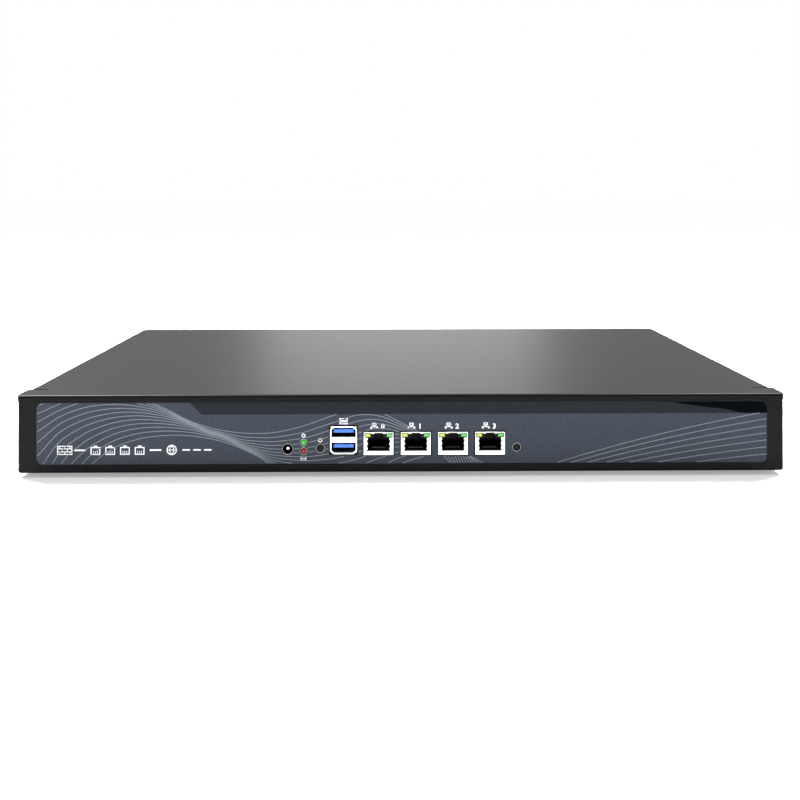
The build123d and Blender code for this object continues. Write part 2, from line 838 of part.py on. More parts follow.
with BuildPart() as lan_left_windows:
    with BuildSketch(front_plane(y_housing + plug_depth)):
        with Locations(*[(x - indicator_offset, indicator_z) for x in lan_centres]):
            Rectangle(indicator_width - 0.1, indicator_height - 0.1)
    extrude(amount=plug_depth)
write(lan_left_windows.part, "lan_left_windows")

with BuildPart() as lan_right_windows:
    with BuildSketch(front_plane(y_housing + plug_depth)):
        with Locations(*[(x + indicator_offset, indicator_z) for x in lan_centres]):
            Rectangle(indicator_width - 0.1, indicator_height - 0.1)
    extrude(amount=plug_depth)
write(lan_right_windows.part, "lan_right_windows")

contact_pitch = 1.02
contact_width = 0.45
y_contact = y_housing + 3.0
y_contact_back = y_housing + plug_depth

with BuildPart() as lan_contacts:
    for x in lan_centres:
        for index in range(8):
            wire_x = x + (index - 3.5) * contact_pitch - contact_width / 2
            with BuildSketch(Plane.YZ.offset(wire_x)):
                with BuildLine():
                    Polyline(
                        (y_contact, plug_low + 0.4),
                        (y_contact, plug_low + 0.9),
                        (y_contact_back, plug_low + 2.1),
                        (y_contact_back, plug_low + 1.6),
                        close=True,
                    )
                make_face()
            extrude(amount=contact_width)
write(lan_contacts.part, "lan_contacts")

# ---------------------------------------------------------------- DC jack
y_jack = y_inner + fit_gap
jack_body_depth = 14.0
jack_bore = 2.85
jack_bore_depth = 10.0

with BuildPart() as dc_jack_body:
    block((jack_x - 4.5, y_jack, z_board), (jack_x + 4.5, y_jack + jack_body_depth, jack_z + 4.6))
    with BuildSketch(front_plane(y_jack)):
        with Locations((jack_x, jack_z)):
            Circle(jack_bore)
    extrude(amount=-jack_bore_depth, mode=Mode.SUBTRACT)
write(dc_jack_body.part, "dc_jack_body")

with BuildPart() as dc_jack_pin:
    with BuildSketch(front_plane(y_jack + jack_bore_depth)):
        with Locations((jack_x, jack_z)):
            Circle(1.0)
    extrude(amount=jack_bore_depth - 0.6)
    fillet(dc_jack_pin.faces().sort_by(Axis.Y)[0].edges(), 0.4)
write(dc_jack_pin.part, "dc_jack_pin")

# ---------------------------------------------------------------- status LEDs
led_radius = 1.5
y_led_holder = y_inner + 2.2
y_led_back = y_led_holder + 5.0

with BuildPart() as led_holder:
    block((led_x - 2.6, y_led_holder, z_board), (led_x + 2.6, y_led_back + 1.5, led_green_z + 2.6))
    with BuildSketch(front_plane(y_led_holder)):
        with Locations((led_x, led_green_z), (led_x, led_red_z)):
            Circle(led_radius + 0.1)
    extrude(amount=-(y_led_back - y_led_holder), mode=Mode.SUBTRACT)
write(led_holder.part, "led_holder")

with BuildPart() as power_led:
    with BuildSketch(front_plane(y_led_back)):
        with Locations((led_x, led_green_z)):
            Circle(led_radius)
    extrude(amount=y_led_back - y_front + 0.3)
    fillet(power_led.faces().sort_by(Axis.Y)[0].edges(), 1.2)
write(power_led.part, "power_led")

with BuildPart() as drive_led:
    with BuildSketch(front_plane(y_led_back)):
        with Locations((led_x, led_red_z)):
            Circle(led_radius)
    extrude(amount=y_led_back - y_front + 0.3)
    fillet(drive_led.faces().sort_by(Axis.Y)[0].edges(), 1.2)
write(drive_led.part, "drive_led")

# ---------------------------------------------------------------- buttons
y_switch = y_inner + 5.0
switch_depth = 7.0
stem_radius = 1.0
stem_bore = 1.3
stem_reach = 3.0
bore_depth = 5.0
cap_back = y_switch - 1.7


def button_switch(x, z):
    """The fixed body of a tactile switch, with the bore its stem slides in."""
    block((x - 3.5, y_switch, z_board), (x + 3.5, y_switch + switch_depth, z + 3.5))
    with BuildSketch(front_plane(y_switch)) as bore:
        with Locations((x, z)):
            Circle(stem_bore)
    extrude(bore.sketch, amount=-bore_depth, mode=Mode.SUBTRACT)


def button_cap(x, z, radius, y_face):
    """A round cap and the stem behind it."""
    with BuildSketch(front_plane(cap_back)) as cap:
        with Locations((x, z)):
            Circle(radius)
    extrude(cap.sketch, amount=cap_back - y_face)
    with BuildSketch(front_plane(cap_back)) as stem:
        with Locations((x, z)):
            Circle(stem_radius)
    extrude(stem.sketch, amount=-(y_switch + stem_reach - cap_back))


with BuildPart() as power_switch_body:
    button_switch(power_x, power_z)
write(power_switch_body.part, "power_switch_body")

with BuildPart() as power_button:
    button_cap(power_x, power_z, power_hole - 0.35, y_front - 0.3)
    chamfer(power_button.faces().sort_by(Axis.Y)[0].edges(), 0.35)
write(power_button.part, "power_button")

with BuildPart() as reset_switch_body:
    button_switch(reset_x, reset_z)
write(reset_switch_body.part, "reset_switch_body")

with BuildPart() as reset_button:
    button_cap(reset_x, reset_z, reset_hole - 0.5, y_front + 0.9)
    chamfer(reset_button.faces().sort_by(Axis.Y)[0].edges(), 0.3)
write(reset_button.part, "reset_button")

# ---------------------------------------------------------------- data drive and its bracket
drive_x = (-190.0, -120.15)
drive_y = (-10.0, 90.0)
drive_height = 7.0
bracket_rise = 8.0
z_bracket = z_floor + bracket_rise
z_drive = z_bracket + sheet
drive_bolt_x = (drive_x[0] + 4.0, drive_x[1] - 4.0)
drive_bolt_y = (drive_y[0] + 14.0, drive_y[1] - 9.4)
drive_bolts = [(x, y) for x in drive_bolt_x for y in drive_bolt_y]

with BuildPart() as drive_bracket:
    block((drive_x[0] - 2.0, drive_y[0] + 3.0, z_bracket), (drive_x[1] + 2.0, drive_y[1] - 3.0, z_drive))
    for edge, out in ((drive_x[0] - 2.0, -1), (drive_x[1] + 2.0, 1)):
        wall = sorted((edge, edge - out * sheet))
        block((wall[0], drive_y[0] + 3.0, z_floor), (wall[1], drive_y[1] - 3.0, z_bracket))
        foot = sorted((edge, edge + out * 9.0))
        block((foot[0], drive_y[0] + 3.0, z_floor), (foot[1], drive_y[1] - 3.0, z_floor + sheet))
    with BuildSketch(Plane.XY.offset(z_bracket)):
        with Locations(((drive_x[0] + drive_x[1]) / 2, (drive_y[0] + drive_y[1]) / 2)):
            RectangleRounded(40.0, 60.0, 4.0)
        with Locations(*drive_bolts):
            Circle(screw_clear)
    extrude(amount=sheet, mode=Mode.SUBTRACT)
write(drive_bracket.part, "drive_bracket")

with BuildPart() as data_drive:
    block((drive_x[0], drive_y[0], z_drive), (drive_x[1], drive_y[1], z_drive + drive_height))
    fillet(data_drive.edges().filter_by(Axis.Z), 2.0)
    with BuildSketch(Plane.XY.offset(z_drive)):
        with Locations(*drive_bolts):
            Circle(screw_clear)
    extrude(amount=3.0, mode=Mode.SUBTRACT)
write(data_drive.part, "data_drive")

with BuildPart() as drive_screws:
    pan_screws([Plane(origin=(x, y, z_bracket), z_dir=(0, 0, -1)) for x, y in drive_bolts], 3.0)
write(drive_screws.part, "drive_screws")

data_lead_diameter = 4.0
z_data = z_board + 4.0
data_exit_x = -150.0
data_route = [
    (data_exit_x, drive_y[0] - 10.0, z_data),
    (data_exit_x, drive_y[0] - 26.0, z_data),
    (data_exit_x + 14.0, data_socket_y, z_data),
    (-94.0, data_socket_y, z_data),
]
data_radii = route_radii(data_route)
print("data lead radii", [round(radius, 1) for radius in data_radii])

with BuildPart() as data_lead:
    lead(data_route, data_radii, data_lead_diameter)
    # moulded plugs at the drive and at the board
    block(
        (data_exit_x - 8.0, drive_y[0] - 10.0, z_data - 3.0),
        (data_exit_x + 8.0, drive_y[0], z_data + 3.0),
    )
    block((-94.0, data_socket_y - 5.5, z_data - 3.0), (-84.0, data_socket_y + 5.5, z_data + 3.0))
write(data_lead.part, "data_lead")

# ---------------------------------------------------------------- internal supply
supply_middle = (sum(supply_x) / 2, sum(supply_y) / 2)

with BuildPart() as supply_board:
    with BuildSketch(Plane.XY.offset(z_board_under)):
        with Locations(supply_middle):
            RectangleRounded(supply_x[1] - supply_x[0], supply_y[1] - supply_y[0], 1.0)
        with Locations(*supply_holes):
            Circle(screw_clear, mode=Mode.SUBTRACT)
    extrude(amount=board_sheet)
write(supply_board.part, "supply_board")

with BuildPart() as supply_transformer:
    tx, ty = supply_middle
    block((tx - 13.0, ty - 16.0, z_board), (tx + 13.0, ty + 16.0, z_board + 4.0))
    block((tx - 9.0, ty - 13.0, z_board + 4.0), (tx + 9.0, ty + 13.0, z_board + 18.0))
    block((tx - 13.0, ty - 16.0, z_board + 18.0), (tx + 13.0, ty + 16.0, z_board + 22.0))
    for side in (-1, 1):
        limb = sorted((tx + side * 13.0, tx + side * 9.0))
        block((limb[0], ty - 8.0, z_board + 4.0), (limb[1], ty + 8.0, z_board + 18.0))
write(supply_transformer.part, "supply_transformer")

supply_capacitor_spots = [(supply_x[0] + 16.0, supply_y[1] - 18.0, 8.0, 28.0)]
supply_capacitor_spots += [
    (supply_x[0] + 18.0 + 13.0 * index, supply_y[0] + 12.0, 5.0, 20.0) for index in range(3)
]

with BuildPart() as supply_capacitors:
    for x, y, radius, height in supply_capacitor_spots:
        with BuildSketch(Plane.XY.offset(z_board)):
            with Locations((x, y)):
                Circle(radius)
        extrude(amount=height)
write(supply_capacitors.part, "supply_capacitors")

with BuildPart() as supply_heat_plates:
    for edge, inward in ((supply_x[0] + 1.5, 1), (supply_x[1] - 1.5, -1)):
        plate = sorted((edge, edge + inward * 2.0))
        block((plate[0], supply_y[0] + 22.0, z_board), (plate[1], supply_y[1] - 30.0, z_board + 24.0))
write(supply_heat_plates.part, "supply_heat_plates")

dc_exit_x = 146.0
terminal_x = [supply_x[0] + 33.0 + 8.0 * index for index in range(3)]

with BuildPart() as supply_terminals:
    # AC terminals at the back, DC socket at the front
    block(
        (terminal_x[0] - 4.0, supply_y[1] - 10.0, z_board),
        (terminal_x[2] + 4.0, supply_y[1], z_board + 10.0),
    )
    block((dc_exit_x - 5.0, supply_y[0], z_board), (dc_exit_x + 5.0, supply_y[0] + 5.0, z_board + 9.0))
write(supply_terminals.part, "supply_terminals")

dc_lead_diameter = 5.0
z_dc = z_board + 4.5
dc_route = [
    (dc_exit_x, supply_y[0], z_dc),
    (dc_exit_x, supply_y[0] - 14.0, z_dc),
    (dc_exit_x - 12.0, power_socket_y, z_dc),
    (84.0, power_socket_y, z_dc),
]
dc_radii = route_radii(dc_route)
print("DC lead radii", [round(radius, 1) for radius in dc_radii])

with BuildPart() as dc_lead:
    lead(dc_route, dc_radii, dc_lead_diameter)
write(dc_lead.part, "dc_lead")

# ---------------------------------------------------------------- AC inlet
inlet_flange = (48.0, 22.4, 2.4)
inlet_pin_reach = 7.0
inlet_pin_low = inlet_z - 2.0
inlet_pin_high = inlet_z + 3.0
inlet_pin_size = (2.0, 4.0)
inlet_pin_spots = [
    (inlet_x - inlet_pin_reach, inlet_pin_low),
    (inlet_x, inlet_pin_high),
    (inlet_x + inlet_pin_reach, inlet_pin_low),
]
inlet_body_width = 27.4
inlet_body_height = 19.8
inlet_body_depth = 18.0
inlet_wall = 1.4
y_inlet = y_rear_plate + inlet_flange[2]


def inlet_outline(width, height, corner):
    """The inlet's section: a rectangle with its two upper corners cut off."""
    with BuildLine() as outline:
        Polyline(
            (inlet_x - width / 2, inlet_z - height / 2),
            (inlet_x + width / 2, inlet_z - height / 2),
            (inlet_x + width / 2, inlet_z + height / 2 - corner),
            (inlet_x + width / 2 - corner, inlet_z + height / 2),
            (inlet_x - width / 2 + corner, inlet_z + height / 2),
            (inlet_x - width / 2, inlet_z + height / 2 - corner),
            close=True,
        )
    make_face(outline.edges())


with BuildPart() as inlet_body:
    with BuildSketch(front_plane(y_inlet)):
        with Locations((inlet_x, inlet_z)):
            RectangleRounded(inlet_flange[0], inlet_flange[1], 4.0)
    extrude(amount=inlet_flange[2])
    with BuildSketch(front_plane(y_rear_plate)):
        inlet_outline(inlet_body_width, inlet_body_height, 5.0)
    extrude(amount=inlet_body_depth)
    with BuildSketch(front_plane(y_inlet)):
        inlet_outline(inlet_body_width - 2 * inlet_wall, inlet_body_height - 2 * inlet_wall, 4.6)
    extrude(amount=inlet_flange[2] + inlet_body_depth - 2.5, mode=Mode.SUBTRACT)
    with BuildSketch(front_plane(y_inlet)):
        with Locations((inlet_x, inlet_z)):
            with GridLocations(2 * inlet_screw_reach, 1, 2, 1):
                Circle(screw_clear)
    extrude(amount=inlet_flange[2], mode=Mode.SUBTRACT)
    # slots in the back wall that the pins are pressed through
    with BuildSketch(front_plane(y_inlet)):
        with Locations(*inlet_pin_spots):
            Rectangle(*inlet_pin_size)
    extrude(amount=inlet_flange[2] + inlet_body_depth, mode=Mode.SUBTRACT)
write(inlet_body.part, "inlet_body")

y_inlet_tab = y_rear_plate - inlet_body_depth - 6.0

with BuildPart() as inlet_pins:
    with BuildSketch(front_plane(y_inlet_tab)):
        with Locations(*inlet_pin_spots):
            Rectangle(*inlet_pin_size)
    extrude(amount=-(y_inlet - 3.0 - y_inlet_tab))
write(inlet_pins.part, "inlet_pins")

# ---------------------------------------------------------------- rocker switch
rocker_tilt = 9.0
rocker_width = 10.4
rocker_reach = 8.0
rocker_axle = 1.2
y_pivot = y_rear_plate - 2.6
switch_flange = (15.4, 22.0, 1.8)
switch_body = (12.6, 19.2, 14.0)
switch_cavity = (11.0, 18.0, 10.0)
switch_tab = (4.8, 0.8, 7.0)
switch_tab_reach = 5.0

with BuildPart() as switch_frame:
    with BuildSketch(front_plane(y_rear_plate + switch_flange[2])):
        with Locations((switch_x, switch_z)):
            RectangleRounded(switch_flange[0], switch_flange[1], 1.0)
    extrude(amount=switch_flange[2])
    with BuildSketch(front_plane(y_rear_plate)):
        with Locations((switch_x, switch_z)):
            Rectangle(switch_body[0], switch_body[1])
    extrude(amount=switch_body[2])
    with BuildSketch(front_plane(y_rear_plate + switch_flange[2])):
        with Locations((switch_x, switch_z)):
            Rectangle(switch_cavity[0], switch_cavity[1])
    extrude(amount=switch_flange[2] + switch_cavity[2], mode=Mode.SUBTRACT)
    with Locations((switch_x, y_pivot, switch_z)):
        Cylinder(rocker_axle + 0.05, switch_body[0], rotation=(0, 90, 0), mode=Mode.SUBTRACT)
    # terminals behind the body
    with BuildSketch(front_plane(y_rear_plate - switch_body[2])):
        with Locations((switch_x, switch_z)):
            with GridLocations(1, 2 * switch_tab_reach, 1, 2):
                Rectangle(switch_tab[0], switch_tab[1])
    extrude(amount=switch_tab[2])
write(switch_frame.part, "switch_frame")

with BuildPart() as rocker_blank:
    with BuildSketch(Plane.YZ.offset(-rocker_width / 2)):
        with BuildLine():
            Polyline(
                (0.8, -rocker_reach),
                (4.6, -rocker_reach),
                (3.2, 0.0),
                (4.6, rocker_reach),
                (0.8, rocker_reach),
                (-3.4, 2.2),
                (-3.4, -2.2),
                close=True,
            )
        make_face()
    extrude(amount=rocker_width)
    Cylinder(rocker_axle, rocker_width + 1.2, rotation=(0, 90, 0))

with BuildPart() as switch_rocker:
    with Locations(Location((switch_x, y_pivot, switch_z), (rocker_tilt, 0, 0))):
        add(rocker_blank.part)
write(switch_rocker.part, "switch_rocker")

# ---------------------------------------------------------------- AC wires
ac_wire_diameter = 2.4


def ac_route(start, end):
    """A short wire from a tab at the back to a terminal of the supply, in one gentle S."""
    (x0, y0, z0), (x1, y1, z1) = start, end
    third = (y0 - y1) / 3
    return [(x0, y0, z0), (x0, y0 - third, z0), (x1, y1 + third, z1), (x1, y1, z1)]


z_terminal = z_board + 6.0
y_switch_tab = y_rear_plate - switch_body[2] - switch_tab[2]
inlet_tabs = [(x, y_inlet_tab, z) for x, z in inlet_pin_spots]
switch_tabs = [(switch_x, y_switch_tab, switch_z + side * switch_tab_reach) for side in (-1, 1)]
terminals = [(x, supply_y[1], z_terminal) for x in terminal_x]
ac_routes = [
    ac_route(tab, terminal) for tab, terminal in zip(inlet_tabs[:2] + switch_tabs[:1], terminals)
]

with BuildPart() as ac_wires:
    for points in ac_routes:
        radii = route_radii(points)
        print("AC wire radii", [round(radius, 1) for radius in radii])
        lead(points, radii, ac_wire_diameter)
    # jumper from the inlet's live tab to the switch's upper tab
    jumper = [
        inlet_tabs[2],
        (inlet_tabs[2][0], y_inlet_tab - 8.0, inlet_pin_low),
        (inlet_x + 14.0, y_inlet_tab - 15.0, inlet_z + 1.0),
        (inlet_x + 25.0, y_inlet_tab - 16.0, inlet_z + 4.0),
        (switch_x, y_inlet_tab - 8.0, switch_z + switch_tab_reach),
        switch_tabs[1],
    ]
    jumper_radii = route_radii(jumper)
    print("AC jumper radii", [round(radius, 1) for radius in jumper_radii])
    lead(jumper, jumper_radii, ac_wire_diameter)
write(ac_wires.part, "ac_wires")

# ---------------------------------------------------------------- fan
y_fan_back = y_rear_plate - sheet
y_fan_front = y_fan_back - fan_thickness
duct_radius = 19.0
hub_radius = 9.0
blade_radius = 18.4
blade_count = 7
blade_pitch_angle = 38.0

with BuildPart() as fan_frame:
    with BuildSketch(front_plane(y_fan_back)):
        with Locations((fan_x, fan_z)):
            RectangleRounded(fan_side, fan_side, 2.5)
            Circle(duct_radius, mode=Mode.SUBTRACT)
            with GridLocations(2 * fan_bolt, 2 * fan_bolt, 2, 2):
                Circle(screw_clear, mode=Mode.SUBTRACT)
    extrude(amount=fan_thickness)
    # motor seat and its struts, on the inner side
    with BuildSketch(front_plane(y_fan_front + 1.6)):
        with Locations((fan_x, fan_z)):
            Circle(hub_radius)
            with PolarLocations((duct_radius + hub_radius) / 2, 3, start_angle=30):
                Rectangle(duct_radius - hub_radius + 2.0, 2.2)
            Circle(1.05, mode=Mode.SUBTRACT)
    extrude(amount=1.6)
write(fan_frame.part, "fan_frame")

with BuildPart() as fan_rotor:
    with BuildSketch(front_plane(y_fan_back - 0.6)):
        with Locations((fan_x, fan_z)):
            Circle(hub_radius)
    extrude(amount=fan_thickness - 3.0)
    fillet(fan_rotor.faces().sort_by(Axis.Y)[-1].edges(), 1.0)
    with BuildSketch(front_plane(y_fan_front + 2.6)):
        with Locations((fan_x, fan_z)):
            Circle(1.0)
    extrude(amount=2.4)
    blade_length = blade_radius - hub_radius + 1.0
    for index in range(blade_count):
        angle = 360.0 * index / blade_count
        hub_point = Location((fan_x, (y_fan_front + y_fan_back) / 2 + 0.5, fan_z), (0, angle, 0))
        blade_point = Location((hub_radius - 1.0 + blade_length / 2, 0, 0), (blade_pitch_angle, 0, 0))
        with Locations(hub_point * blade_point):
            Box(blade_length, 0.9, 8.0)
write(fan_rotor.part, "fan_rotor")

fan_screw_planes = [
    Plane(origin=(fan_x + dx, y_rear_plate, fan_z + dz), z_dir=(0, 1, 0))
    for dx in (-fan_bolt, fan_bolt)
    for dz in (-fan_bolt, fan_bolt)
]
inlet_screw_planes = [
    Plane(origin=(inlet_x + dx, y_inlet, inlet_z), z_dir=(0, 1, 0))
    for dx in (-inlet_screw_reach, inlet_screw_reach)
]

with BuildPart() as rear_screws:
    pan_screws(fan_screw_planes, 8.0)
    pan_screws(inlet_screw_planes, 7.0)
    flat_screws(rear_flange_planes, 5.0)
write(rear_screws.part, "rear_screws")

fan_lead_diameter = 2.4
fan_exit = (fan_x - 12.0, y_fan_front, z_board + 4.0)
fan_route = [
    fan_exit,
    (fan_exit[0], fan_exit[1] - 50.0, fan_exit[2]),
    (fan_socket[0] + 22.0, fan_socket[1], fan_exit[2]),
    (fan_socket[0] + 4.0, fan_socket[1], fan_exit[2]),
]
fan_radii = route_radii(fan_route)
print("fan lead radii", [round(radius, 1) for radius in fan_radii])

with BuildPart() as fan_lead:
    lead(fan_route, fan_radii, fan_lead_diameter)
write(fan_lead.part, "fan_lead")
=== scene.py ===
"""Looks of the 1U firewall appliance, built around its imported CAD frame.

The frame gives every place. Lengths are in metres, and MM turns millimetres into metres.
The front panel faces -Y, +X is to the right seen from the front, and +Z is up.
"""
import json
import math

import bmesh
import bpy
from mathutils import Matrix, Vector


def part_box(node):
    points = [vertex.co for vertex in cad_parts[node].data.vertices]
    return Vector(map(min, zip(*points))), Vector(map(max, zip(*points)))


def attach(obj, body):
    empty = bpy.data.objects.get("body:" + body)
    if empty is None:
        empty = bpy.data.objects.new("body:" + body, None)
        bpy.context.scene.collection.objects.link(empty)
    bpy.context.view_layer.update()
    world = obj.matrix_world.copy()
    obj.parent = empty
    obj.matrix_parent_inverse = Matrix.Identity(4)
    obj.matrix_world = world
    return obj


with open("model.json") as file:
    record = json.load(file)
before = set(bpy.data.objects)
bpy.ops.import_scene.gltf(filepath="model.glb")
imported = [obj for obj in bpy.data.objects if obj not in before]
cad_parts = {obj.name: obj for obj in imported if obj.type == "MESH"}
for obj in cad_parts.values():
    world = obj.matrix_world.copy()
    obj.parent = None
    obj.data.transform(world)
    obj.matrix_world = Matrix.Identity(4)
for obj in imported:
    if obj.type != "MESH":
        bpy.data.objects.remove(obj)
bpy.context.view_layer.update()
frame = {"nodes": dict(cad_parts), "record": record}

MM = 0.001
BODY = "enclosure"
scene = bpy.context.scene

# ---------------------------------------------------------------- places read from the frame
FILM_LOW, FILM_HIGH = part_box("front_overlay")
PANEL_Y = FILM_LOW.y
PANEL_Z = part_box("front_bezel")[0].z
SHIELD_LOW, SHIELD_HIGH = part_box("lan_shields")
USB_LOW, USB_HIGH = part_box("usb_shell")
PORT_COUNT = 4
PORT_WIDTH = 16.5 * MM
PORT_PITCH = (SHIELD_HIGH.x - SHIELD_LOW.x - PORT_WIDTH) / (PORT_COUNT - 1)
PORT_X = [SHIELD_LOW.x + PORT_WIDTH / 2 + PORT_PITCH * index for index in range(PORT_COUNT)]


def middle(node):
    """The middle of a CAD node's box."""
    low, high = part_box(node)
    return (low + high) / 2


JACK = middle("dc_jack_pin")
GREEN = middle("power_led")
RED = middle("drive_led")
POWER = middle("power_button")
RESET = middle("reset_button")
ROUND_HOLES = [
    (JACK, 3.1 * MM),
    (GREEN, 2.1 * MM),
    (RED, 2.1 * MM),
    (POWER, 2.55 * MM),
    (RESET, 2.4 * MM),
]


# ---------------------------------------------------------------- material helpers
def add_node(tree, kind, **values):
    """A shader node with its properties set by name."""
    node = tree.nodes.new(kind)
    for name, value in values.items():
        setattr(node, name, value)
    return node


def surface(name, colour, roughness, metallic=0.0, specular=0.5, vary=0.12, grain=900.0,
            bump=0.15, bump_grain=2500.0, rough_vary=0.08, stretch=(1.0, 1.0, 1.0), coat=0.0):
    """A finished surface: colour and roughness vary with noise, and a fine bump breaks the gloss.

    vary is the share that the colour moves by, and grain and bump_grain are per metre.
    """
    material = bpy.data.materials.new(name)
    material.use_nodes = True
    tree = material.node_tree
    shader = tree.nodes["Principled BSDF"]
    shader.inputs["Metallic"].default_value = metallic
    shader.inputs["Specular IOR Level"].default_value = specular
    shader.inputs["Coat Weight"].default_value = coat
    place = add_node(tree, "ShaderNodeTexCoord")
    mapping = add_node(tree, "ShaderNodeMapping")
    mapping.inputs["Scale"].default_value = stretch
    tree.links.new(place.outputs["Object"], mapping.inputs["Vector"])
    noise = add_node(tree, "ShaderNodeTexNoise")
    noise.inputs["Scale"].default_value = grain
    noise.inputs["Detail"].default_value = 4.0
    tree.links.new(mapping.outputs["Vector"], noise.inputs["Vector"])
    ramp = add_node(tree, "ShaderNodeValToRGB")
    ramp.color_ramp.elements[0].position = 0.3
    ramp.color_ramp.elements[1].position = 0.7
    ramp.color_ramp.elements[0].color = (*[c * (1 - vary) for c in colour], 1)
    ramp.color_ramp.elements[1].color = (*[min(1.0, c * (1 + vary)) for c in colour], 1)
    tree.links.new(noise.outputs["Fac"], ramp.inputs["Fac"])
    tree.links.new(ramp.outputs["Color"], shader.inputs["Base Color"])
    spread = add_node(tree, "ShaderNodeMapRange")
    spread.inputs["To Min"].default_value = max(0.02, roughness - rough_vary)
    spread.inputs["To Max"].default_value = min(1.0, roughness + rough_vary)
    tree.links.new(noise.outputs["Fac"], spread.inputs["Value"])
    tree.links.new(spread.outputs["Result"], shader.inputs["Roughness"])
    if bump > 0:
        fine = add_node(tree, "ShaderNodeTexNoise")
        fine.inputs["Scale"].default_value = bump_grain
        fine.inputs["Detail"].default_value = 3.0
        tree.links.new(mapping.outputs["Vector"], fine.inputs["Vector"])
        relief = add_node(tree, "ShaderNodeBump")
        relief.inputs["Strength"].default_value = bump
        relief.inputs["Distance"].default_value = 0.1 * MM
        tree.links.new(fine.outputs["Fac"], relief.inputs["Height"])
        tree.links.new(relief.outputs["Normal"], shader.inputs["Normal"])
    return material


def glow(material, colour, strength):
    """Makes a surface give off a little light of its own."""
    shader = material.node_tree.nodes["Principled BSDF"]
    shader.inputs["Emission Color"].default_value = (*colour, 1)
    shader.inputs["Emission Strength"].default_value = strength
    return material


MATERIALS = {
    "black_paint": surface("black_paint", (0.0021, 0.0026, 0.0034), 0.43, specular=0.08, bump=0.12,
                           rough_vary=0.05),
    "overlay_film": surface("overlay_film", (0.031, 0.038, 0.0515), 0.5, specular=0.1, vary=0.2,
                            grain=1200.0, bump=0.1, bump_grain=1800.0),
    "black_screw": surface("black_screw", (0.02, 0.02, 0.021), 0.35, metallic=0.6),
    "foot_rubber": surface("foot_rubber", (0.015, 0.015, 0.015), 0.75, bump=0.3, bump_grain=1500.0),
    "zinc_screw": surface("zinc_screw", (0.36, 0.36, 0.35), 0.45, metallic=1.0),
    "green_laminate": surface("green_laminate", (0.01, 0.09, 0.04), 0.35, coat=0.2),
    "tan_laminate": surface("tan_laminate", (0.3, 0.2, 0.09), 0.6),
    "brass_plate": surface("brass_plate", (0.7, 0.5, 0.22), 0.3, metallic=1.0),
    "dark_chip": surface("dark_chip", (0.015, 0.015, 0.016), 0.55),
    "bare_aluminium": surface("bare_aluminium", (0.7, 0.7, 0.71), 0.38, metallic=1.0, vary=0.05,
                              grain=300.0, stretch=(1.0, 0.05, 1.0)),
    "black_plastic": surface("black_plastic", (0.0035, 0.0035, 0.004), 0.45, specular=0.12),
    "white_plastic": surface("white_plastic", (0.65, 0.64, 0.6), 0.45),
    "bright_metal": surface("bright_metal", (0.68, 0.68, 0.66), 0.32, metallic=1.0, vary=0.06,
                            grain=1500.0, bump=0.06),
    "blue_plastic": surface("blue_plastic", (0.01, 0.13, 0.62), 0.35, vary=0.06),
    "gold_contact": surface("gold_contact", (0.16, 0.14, 0.105), 0.45, metallic=1.0, vary=0.08),
    "yellow_window": glow(surface("yellow_window", (0.28, 0.34, 0.02), 0.3, vary=0.08),
                          (0.4, 0.5, 0.03), 0.35),
    "green_window": glow(surface("green_window", (0.035, 0.25, 0.035), 0.3, vary=0.08),
                         (0.04, 0.4, 0.04), 0.55),
    "red_window": glow(surface("red_window", (0.17, 0.008, 0.008), 0.3, vary=0.08),
                       (0.3, 0.005, 0.005), 0.22),
    "zinc_sheet": surface("zinc_sheet", (0.55, 0.56, 0.57), 0.38, metallic=1.0, grain=200.0),
    "red_cable": surface("red_cable", (0.4, 0.02, 0.02), 0.5),
    "black_cable": surface("black_cable", (0.012, 0.012, 0.012), 0.5),
    "yellow_tape": surface("yellow_tape", (0.6, 0.45, 0.06), 0.4),
    "dark_sleeve": surface("dark_sleeve", (0.015, 0.015, 0.03), 0.35),
}

for part in frame["record"]["subparts"]:
    node = frame["nodes"][part["node"]]
    for material_slot in node.material_slots:
        material_slot.material = MATERIALS[part["material_slot"]]

INK = surface("pale_ink", (0.8, 0.8, 0.82), 0.5, specular=0.12, vary=0.04)
LINE_INK = surface("line_ink", (0.135, 0.155, 0.178), 0.5, specular=0.1, vary=0.1)
BAND_INK = surface("band_ink", (0.0092, 0.0118, 0.016), 0.5, specular=0.08, vary=0.15,
                   grain=1200.0)
WEDGE_INK = surface("wedge_ink", (0.0018, 0.0028, 0.004), 0.5, specular=0.0, vary=0.1)
RIM_METAL = surface("rim_metal", (0.34, 0.34, 0.33), 0.3, metallic=1.0)


# ---------------------------------------------------------------- flat print on the panel
def new_piece(name, mesh_maker, material):
    """A mesh piece made by mesh_maker(bmesh), riding on the enclosure."""
    mesh = bpy.data.meshes.new(name)
    shape = bmesh.new()
    mesh_maker(shape)
    bmesh.ops.recalc_face_normals(shape, faces=shape.faces)
    shape.to_mesh(mesh)
    shape.free()
    mesh.materials.append(material)
    piece = bpy.data.objects.new(name, mesh)
    scene.collection.objects.link(piece)
    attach(piece, BODY)
    return piece


def slab(shape, outline, thickness, lift=0.0):
    """A closed flat slab on the panel: outline is a list of (x, z), drawn thickness proud of it."""
    y_back = PANEL_Y - lift
    y_front = y_back - thickness
    back = [shape.verts.new((x, y_back, z)) for x, z in outline]
    front = [shape.verts.new((x, y_front, z)) for x, z in outline]
    shape.faces.new(back)
    shape.faces.new(front[::-1])
    count = len(outline)
    for index in range(count):
        following = (index + 1) % count
        shape.faces.new((back[index], front[index], front[following], back[following]))


